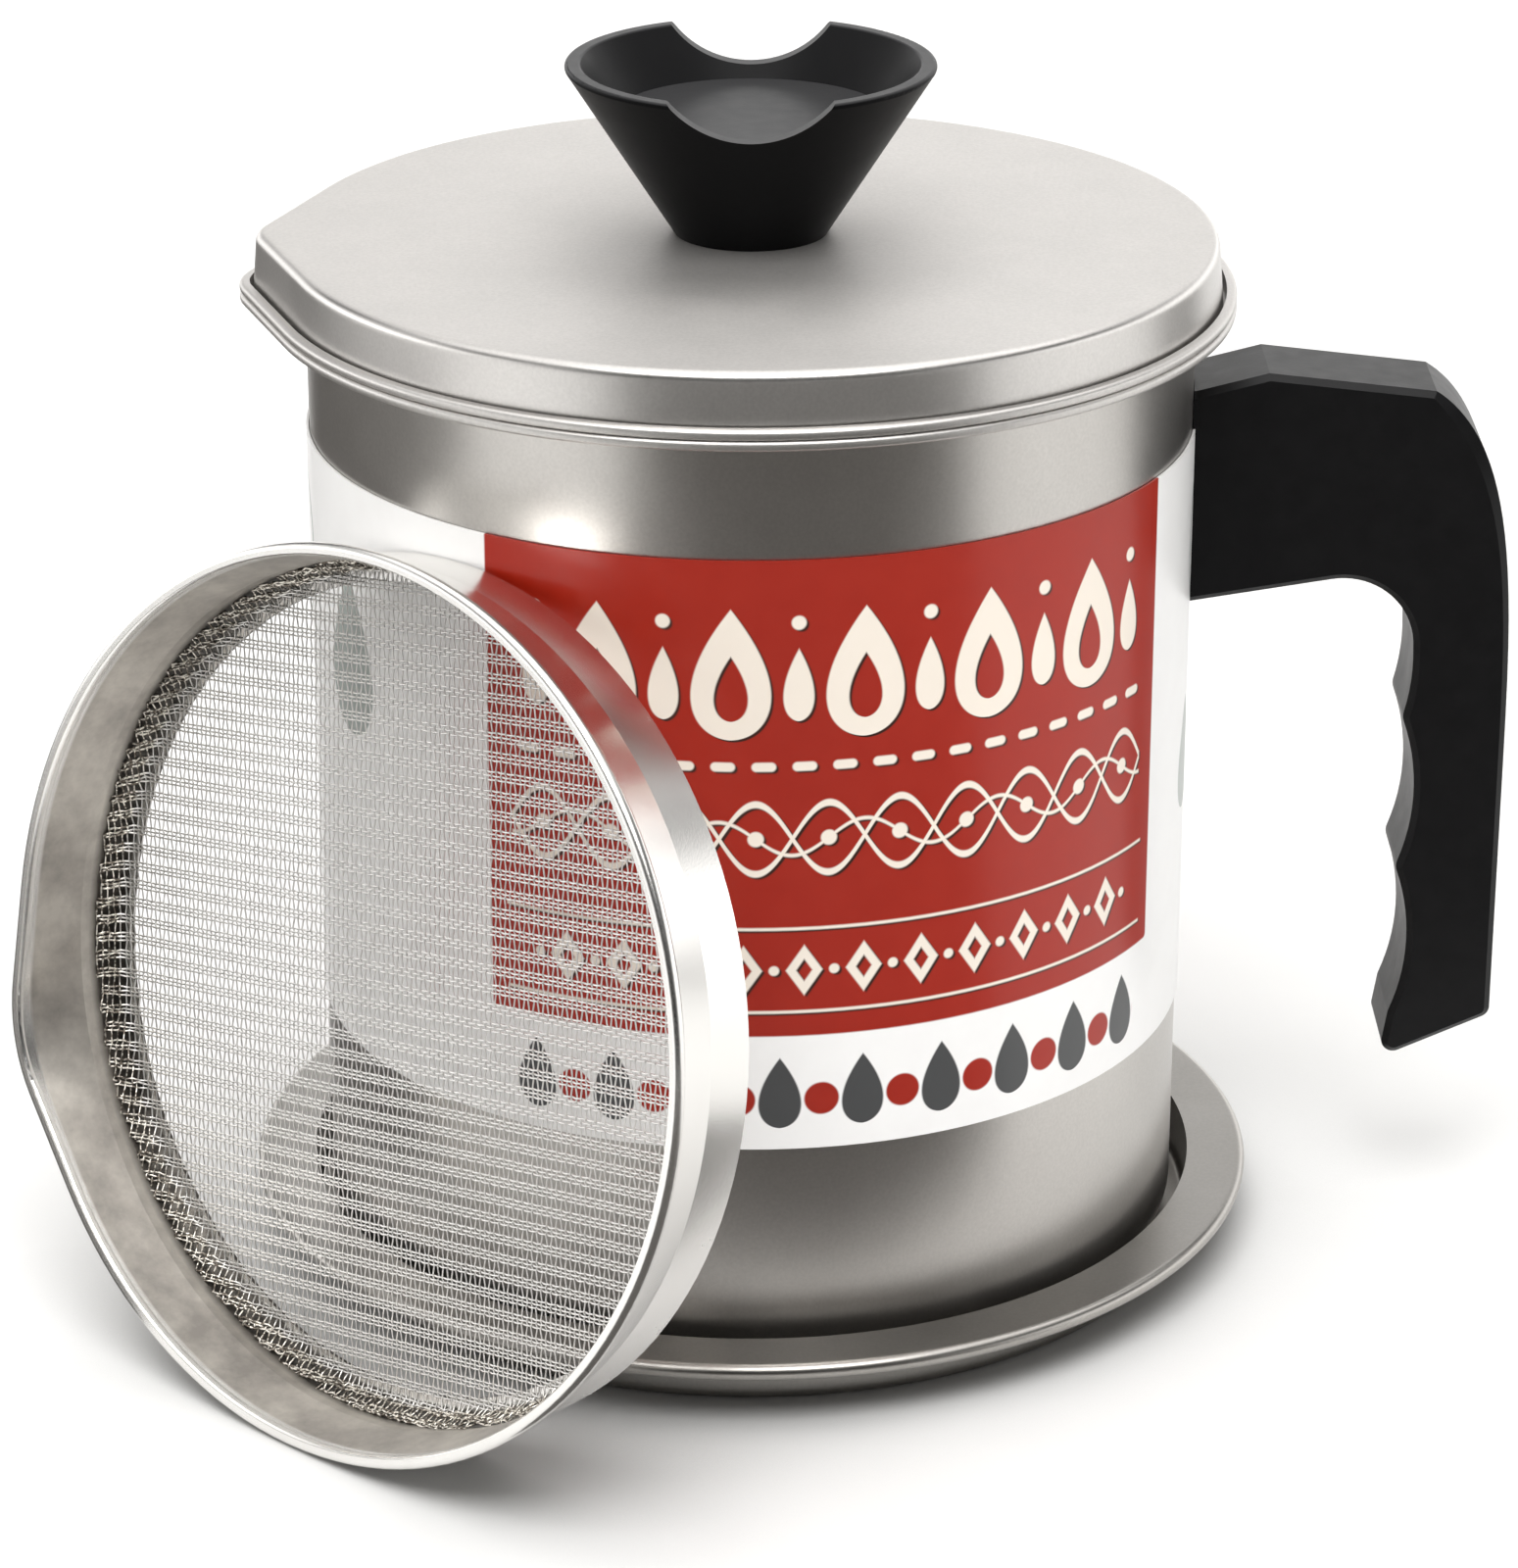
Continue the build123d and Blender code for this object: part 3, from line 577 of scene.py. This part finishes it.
def make_drawn_lid(material):
    """Flat lid with a rounded edge and a skirt that is 0.7 mm wider at its foot than at the top."""
    base, top, wall = 128.2, 136.5, 0.6
    lean = math.degrees(math.atan(0.7 / (top - base)))
    section = np.concatenate([
        [(58.8, top - wall), (59.1, top - wall), (59.8, base), (60.4, base), (59.83, 135.0)],
        arc((58.597, 135.3), 1.2, lean, 90), [(58.2, top)]])
    return lipped_sheet("drawn_lid", section, 2.1, material)


def make_rolled_tray(material):
    """Drip tray, turned: each (r, height) of its section gives the circle of radius r there.

    The section starts and ends in the middle of the floor, below and above the sheet, where it
    closes in a fan.
    """
    round_count = 360
    wall, floor_end, well, shoulder, flange = 0.6, 58.0, 60.0, 65.6, 8.6
    corner, curl = (58.5, 1.5), (66.1, 7.5)
    section = np.concatenate([
        [(floor_end, 0)], arc(corner, 1.5, -90, 0),
        [(well, 2.0), (well, flange - wall), (shoulder, flange - wall)],
        arc(curl, 0.5, 90, -160), arc(curl, 1.1, -160, 90),
        [(shoulder, flange), (well - wall, flange), (well - wall, 2.0)],
        arc(corner, 0.9, 0, -90), [(floor_end, wall)]])
    turn = np.linspace(0, 2 * math.pi, round_count + 1)[:-1]
    r, z = section[:, :1], np.repeat(section[:, 1:], round_count, 1)
    rings = np.stack([r * np.cos(turn), r * np.sin(turn), z], -1)
    index = np.arange(z.size).reshape(z.shape)
    beside = np.roll(index, -1, 1)
    walls = np.stack([index[:-1], beside[:-1], beside[1:], index[1:]], -1).reshape(-1, 4)
    below, above = index.size, index.size + 1
    fans = np.concatenate([
        np.stack([beside[0], index[0], np.full(round_count, below)], -1),
        np.stack([index[-1], beside[-1], np.full(round_count, above)], -1)])
    vertices = np.concatenate([rings.reshape(-1, 3), [(0, 0, 0), (0, 0, wall)]]) * MM
    faces = walls.tolist() + fans.tolist()
    return mesh_object("rolled_tray", vertices, faces, material, SHEET_CREASE)


# ---------------------------------------------------------------- wire cloth of the strainer
def dish_points(u, v, lift):
    """Points of the dish for places (u, v) on the flat sheet, lifted along its normal.

    The distance s from the middle is kept along the section: level up to the bend, round the
    bend, then straight up the slant. The radius is the sum of cos(angle) ds and the height that
    of sin(angle) ds.
    """
    s = np.hypot(u, v)
    angle = np.clip((s - DISH_RADIUS) / DISH_BEND, 0, DISH_ANGLE)
    past = np.maximum(s - DISH_RADIUS - DISH_BEND * DISH_ANGLE, 0)
    radius = np.minimum(s, DISH_RADIUS) + DISH_BEND * np.sin(angle) + past * math.cos(DISH_ANGLE)
    height = DISH_BEND * (1 - np.cos(angle)) + past * math.sin(DISH_ANGLE)
    radius = radius - lift * np.sin(angle)
    height = height + lift * np.cos(angle)
    share = radius / np.maximum(s, 1e-9)
    return u * share, v * share, height


def wires(name, places, along, radius, start, crosswise, material):
    """Round wires of a plain weave in the dish.

    Each runs along one direction of the sheet, at the given place in the other, and passes over
    and under the wires that it crosses in turn: at crossing number n of wire number k it lies
    WEAVE_WAVE above or below the middle, by the sign of (-1)^(n + k + start). The section has four
    points round it, and each wire is closed at both its ends. Every crossing is shaken out of
    place at random, more so past the flat of the dish, where the wires are also a fifth thicker,
    because they are bunched.
    """
    reach = DISH_RADIUS + DISH_BEND * DISH_ANGLE + DISH_SLOPE
    turn = np.arange(4) * math.pi / 2 + math.pi / 4
    number, crossing, corner = np.meshgrid(
        np.arange(len(places)), np.arange(len(along)), turn, indexing="ij")
    number, crossing = number.astype(int), crossing.astype(int)
    bunched = np.clip((np.hypot(places[number], along[crossing]) - DISH_RADIUS) / DISH_BEND, 0, 1)
    shake = np.random.default_rng(start).normal(size=(3, len(places), len(along)))
    shake = np.clip(shake[:, number, crossing], -1.4, 1.4)
    shake = shake * (FLAT_SHAKE + (EDGE_SHAKE - FLAT_SHAKE) * bunched)
    radius = radius * (1 + bunched / 5)
    side = places[number] + radius * np.cos(corner) + shake[0]
    step = along[crossing] + shake[1]
    swing = WEAVE_WAVE * (1 - 2 * ((number + crossing + start) % 2))
    lift = swing + radius * np.sin(corner) + shake[2]
    u, v = (side, step) if crosswise else (step, side)
    cosine, sine = math.cos(WEAVE_TURN), math.sin(WEAVE_TURN)
    x, y, z = dish_points(u * cosine - v * sine, u * sine + v * cosine, lift)
    origin, axes = strainer_axes()
    vertices = origin + np.stack([x, y, z + MESH_LEVEL], -1) @ axes

    # only what lies in the dish gets walls, and a cap where a wire begins and ends
    inside = np.hypot(places[:, None], along[None, :]) < reach
    index = np.arange(number.size).reshape(number.shape)
    linked = inside[:, :-1] & inside[:, 1:]
    here, ahead = index[:, :-1][linked], index[:, 1:][linked]
    walls = [np.stack([here[:, k], here[:, m], ahead[:, m], ahead[:, k]], -1)
             for k, m in ((0, 1), (1, 2), (2, 3), (3, 0))]
    first = inside & ~np.pad(inside, ((0, 0), (1, 0)))[:, :-1]
    last = inside & ~np.pad(inside, ((0, 0), (0, 1)))[:, 1:]
    faces = np.concatenate([*walls, index[first][:, ::-1], index[last]])
    if crosswise:
        faces = faces[:, ::-1]
    used, compact = np.unique(faces, return_inverse=True)
    return mesh_object(name, vertices.reshape(-1, 3)[used], compact.reshape(faces.shape), material)


def make_woven_mesh(material):
    """Plain weave: even warp wires, and weft wires packed in rows with a wider gap between rows."""
    warp_count = int(CLOTH_REACH / WARP_PITCH)
    warp_places = np.arange(-warp_count, warp_count + 1) * WARP_PITCH
    row_count = int(CLOTH_REACH / ROW_PITCH)
    rows = np.arange(-row_count, row_count + 1) * ROW_PITCH
    in_row = (np.arange(ROW_WIRES) - (ROW_WIRES - 1) / 2) * WEFT_PITCH
    weft_places = (rows[:, None] + in_row).ravel()
    warp = wires("mesh_warp", warp_places, weft_places, WARP_RADIUS, 0, True, material)
    weft = wires("mesh_weft", weft_places, warp_places, WEFT_RADIUS, 1, False, material)
    return warp, weft


# ---------------------------------------------------------------- camera, floor, world and lamps
def make_camera():
    """Camera in front of the pot, looking down on it by 22 degrees."""
    data = bpy.data.cameras.new("camera")
    data.lens = 121.19
    data.clip_start = 0.01
    data.clip_end = 100
    camera = bpy.data.objects.new("camera", data)
    camera.location = (0.0, -0.6505256, 0.3259612)
    camera.rotation_euler = (math.pi / 2 - 0.388001, 0.0, -0.0015809)
    bpy.context.scene.collection.objects.link(camera)
    bpy.context.scene.camera = camera


def make_floor():
    """Pale round floor, 40 m across. Near the object it takes the shadow, deepened by painted
    contact shade, and it is white far off.
    """
    material, tree = new_material("white_studio_floor")
    place = add(tree, "TexCoord", {}, {}, "Object")
    # unevenness of the painted floor, about 25 mm
    grain = add(tree, "TexNoise", {}, {"Vector": place, "Scale": 40.0, "Detail": 2.0}, "Fac")
    colour = add(tree, "Mix", {"data_type": "RGBA"},
                 {0: grain, 6: linear("#e6e6e5"), 7: linear("#eaeae9")}, 2)
    # painted contact shade: the colour darkens softly within 30 mm of whatever stands on it
    openness = add(tree, "AmbientOcclusion", {"samples": 4}, {"Distance": 0.03}, "AO")
    shade = add(tree, "MapRange", {}, {"Value": openness, "From Min": 0.2, "To Min": 0.68})
    colour = add(tree, "Mix", {"data_type": "RGBA", "blend_type": "MULTIPLY"},
                 {0: 1.0, 6: colour, 7: shade}, 2)
    # it glows where it is seen far from the object, and lights nothing by that
    away = add(tree, "VectorMath", {"operation": "LENGTH"}, {0: place}, "Value")
    glow = add(tree, "MapRange", {"interpolation_type": "SMOOTHSTEP"}, {
        "Value": away, "From Min": 0.25, "From Max": 1.2, "To Min": 0.0, "To Max": 0.4})
    rays = add(tree, "LightPath", {}, {}).node.outputs
    seen = add(tree, "Math", {"operation": "MAXIMUM"},
               {0: rays["Is Camera Ray"], 1: rays["Is Glossy Ray"]})
    seen = add(tree, "Math", {"operation": "MAXIMUM"}, {0: seen, 1: rays["Is Transmission Ray"]})
    strength = add(tree, "Math", {"operation": "MULTIPLY"}, {0: glow, 1: seen})
    shaded = add(tree, "BsdfDiffuse", {}, {"Color": colour})
    light = add(tree, "Emission", {}, {"Color": linear("#ffffff"), "Strength": strength})
    shader = add(tree, "AddShader", {}, {0: shaded, 1: light})
    add(tree, "OutputMaterial", {}, {"Surface": shader})
    turn = np.linspace(0, 2 * math.pi, 129)[:-1]
    vertices = np.stack([20 * np.cos(turn), 20 * np.sin(turn), 0 * turn], -1)
    mesh_object("floor", vertices, [list(range(len(turn)))], material)


def make_world():
    """White cloth hung low behind the object and beside it, under a ceiling that is whitest behind.

    It is dark in front and between the cloth and the ceiling.
    """
    world = bpy.data.worlds.new("studio")
    bpy.context.scene.world = world
    world.use_nodes = True
    tree = world.node_tree
    tree.nodes.clear()
    place = add(tree, "TexCoord", {}, {}, "Generated")
    axes = add(tree, "SeparateXYZ", {}, {0: place}).node.outputs
    soft = {"interpolation_type": "SMOOTHSTEP"}
    behind = add(tree, "MapRange", soft, {"Value": axes["Y"], "From Min": -0.9, "From Max": -0.1})
    cloth = add(tree, "MapRange", soft, {
        "Value": axes["Z"], "From Min": 0.26, "From Max": 0.42, "To Min": 1.85, "To Max": 0.0})
    ceiling = add(tree, "MapRange", soft, {
        "Value": axes["Z"], "From Min": 0.6, "From Max": 0.8, "To Max": 1.7})
    back = add(tree, "MapRange", soft, {
        "Value": axes["Y"], "From Min": -0.6, "From Max": 0.2, "To Min": 0.5})
    ceiling = add(tree, "Math", {"operation": "MULTIPLY"}, {0: ceiling, 1: back})
    strength = add(tree, "Math", {"operation": "MULTIPLY_ADD"}, {0: behind, 1: cloth, 2: ceiling})
    # past the edge of the floor the backdrop is white from all sides
    seen = add(tree, "LightPath", {}, {}, "Is Camera Ray")
    strength = add(tree, "Math", {"operation": "MAXIMUM"}, {0: strength, 1: seen})
    background = add(tree, "Background", {}, {"Color": linear("#fffefd"), "Strength": strength})
    add(tree, "OutputWorld", {}, {"Surface": background})


def studio_cloth():
    """Dark grey cotton cloth: matt, with a cloudy weave, patches of about 17 mm."""
    material, tree = new_material("dark_studio_cloth")
    place = add(tree, "TexCoord", {}, {}, "Object")
    weave = add(tree, "TexNoise", {}, {"Vector": place, "Scale": 60.0, "Detail": 2.0}, "Fac")
    colour = add(tree, "Mix", {"data_type": "RGBA"},
                 {0: weave, 6: linear("#4e4c4a"), 7: linear("#585654")}, 2)
    shader = add(tree, "BsdfDiffuse", {}, {"Color": colour})
    add(tree, "OutputMaterial", {}, {"Surface": shader})
    return material


def make_flag(name, corners, material):
    """Dark cloth on the floor, outside the picture: metal shows it as a dark band."""
    vertices = np.array([(x, y, MM) for x, y in corners])
    flag = mesh_object(name, vertices, [list(range(len(corners)))], material)
    flag.visible_camera = False
    flag.visible_shadow = False
    flag.visible_diffuse = False


def make_softbox(name, centre, target, width, height, radiance, colour):
    """Rectangular lamp that faces a point. Its power is pi times its area times its radiance."""
    data = bpy.data.lights.new(name, "AREA")
    data.shape = "RECTANGLE"
    data.size = width
    data.size_y = height
    data.energy = math.pi * width * height * radiance
    data.color = colour
    lamp = bpy.data.objects.new(name, data)
    lamp.location = centre
    lamp.rotation_euler = (Vector(target) - Vector(centre)).to_track_quat("-Z", "Y").to_euler()
    lamp.visible_camera = False
    bpy.context.scene.collection.objects.link(lamp)


make_camera()
make_floor()
make_world()
cloth = studio_cloth()
make_flag("front_flag", [(-0.032, -0.097), (-1.25, -2.0), (2.0, -1.5), (0.1, -0.069)], cloth)
make_flag("left_flag", [(-0.087, -0.05), (-0.78, -0.22), (-0.78, 0.75), (-0.32, 0.75),
                        (-0.073, 0.037)], cloth)
make_flag("right_flag", [(0.36, 0.1), (0.89, 0.31), (0.68, 0.62), (0.28, 0.21)], cloth)
day_white, warm_white = (1.0, 0.995, 0.99), (1.0, 0.99, 0.98)
make_softbox("front_softbox", (0.0, -0.64, 1.14), (0, 0, 0.08), 1.0, 0.6, 6.6, day_white)
make_softbox("back_softbox", (0.28, 0.5, 0.66), (0, 0, 0.1), 1.2, 0.8, 0.55, day_white)
make_softbox("side_softbox", (-0.7, 0.12, 0.35), (0, 0, 0.07), 0.5, 0.5, 0.8, day_white)
make_softbox("left_softbox", (-0.46, -0.38, 0.32), (0, 0, 0.09), 0.26, 0.62, 0.3, warm_white)

# ---------------------------------------------------------------- finishes and new pieces
# pot, rim, lid and tray are all one coated steel; the copies below differ in colour only as painted
# light
steel = coated_steel("silver_grey_coated_drawn_steel", "#b8b5b1", "#c5c2be", 0.32, 0.0)
# the lid and the rim are that steel given lighter colours: a painted highlight
lid_steel = coated_steel("silver_grey_coated_steel_painted_lighter_on_lid", "#c4c2bf", "#cfccc9", 0.32, 0.26)
rim_steel = coated_steel("silver_grey_coated_steel_painted_lighter_on_rim", "#c4c2bf", "#cfccc9", 0.45, 0.0)
# the tray is that steel given darker colours: painted shade
tray_steel = coated_steel("silver_grey_coated_steel_painted_darker_on_tray", "#a5a29d", "#b1aeaa", 0.32, 0.0)
black = phenolic("black_moulded_phenolic", "#101011", "#161617", "#141415", 0.15)
# the knob is the handle's phenolic: darker on its sides as painted shade, much lighter where it
# faces up as a painted highlight
knob_black = phenolic("black_moulded_phenolic_of_the_knob", "#050506", "#09090a", "#363637", 0.05)
bright = bright_steel()
wire = steel_wire()
zinc = plain_metal("zinc_plated_steel", "#b9bcbe", 0.35)
brass = plain_metal("turned_brass", "#c9a65c", 0.3)
paper = printed_label()

finishes = {
    "drip_tray": tray_steel, "pot_body": steel, "pot_rim": rim_steel, "lid_shell": lid_steel,
    "lid_knob": knob_black, "handle_grip": black, "label_sleeve": paper,
    "handle_bracket": zinc, "handle_screw": zinc, "knob_screw": zinc, "knob_washer": zinc,
    "knob_insert": brass, "strainer_band": bright, "strainer_mesh": wire,
}
for name, finish in finishes.items():
    mesh = nodes[name].data
    mesh.materials.clear()
    mesh.materials.append(finish)

rim = make_hemmed_rim(rim_steel)
lid = make_drawn_lid(lid_steel)
tray = make_rolled_tray(tray_steel)
warp, weft = make_woven_mesh(wire)
for piece, body, node, slot in (
        (rim, "pot", "pot_rim", "satin_steel"),
        (lid, "lid", "lid_shell", "satin_steel"),
        (tray, "tray", "drip_tray", "satin_steel"),
        (warp, "strainer", "strainer_mesh", "mesh_wire"),
        (weft, "strainer", "strainer_mesh", "mesh_wire")):
    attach(piece, body)
    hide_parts(node)

bpy.context.scene.view_settings.view_transform = "Standard"
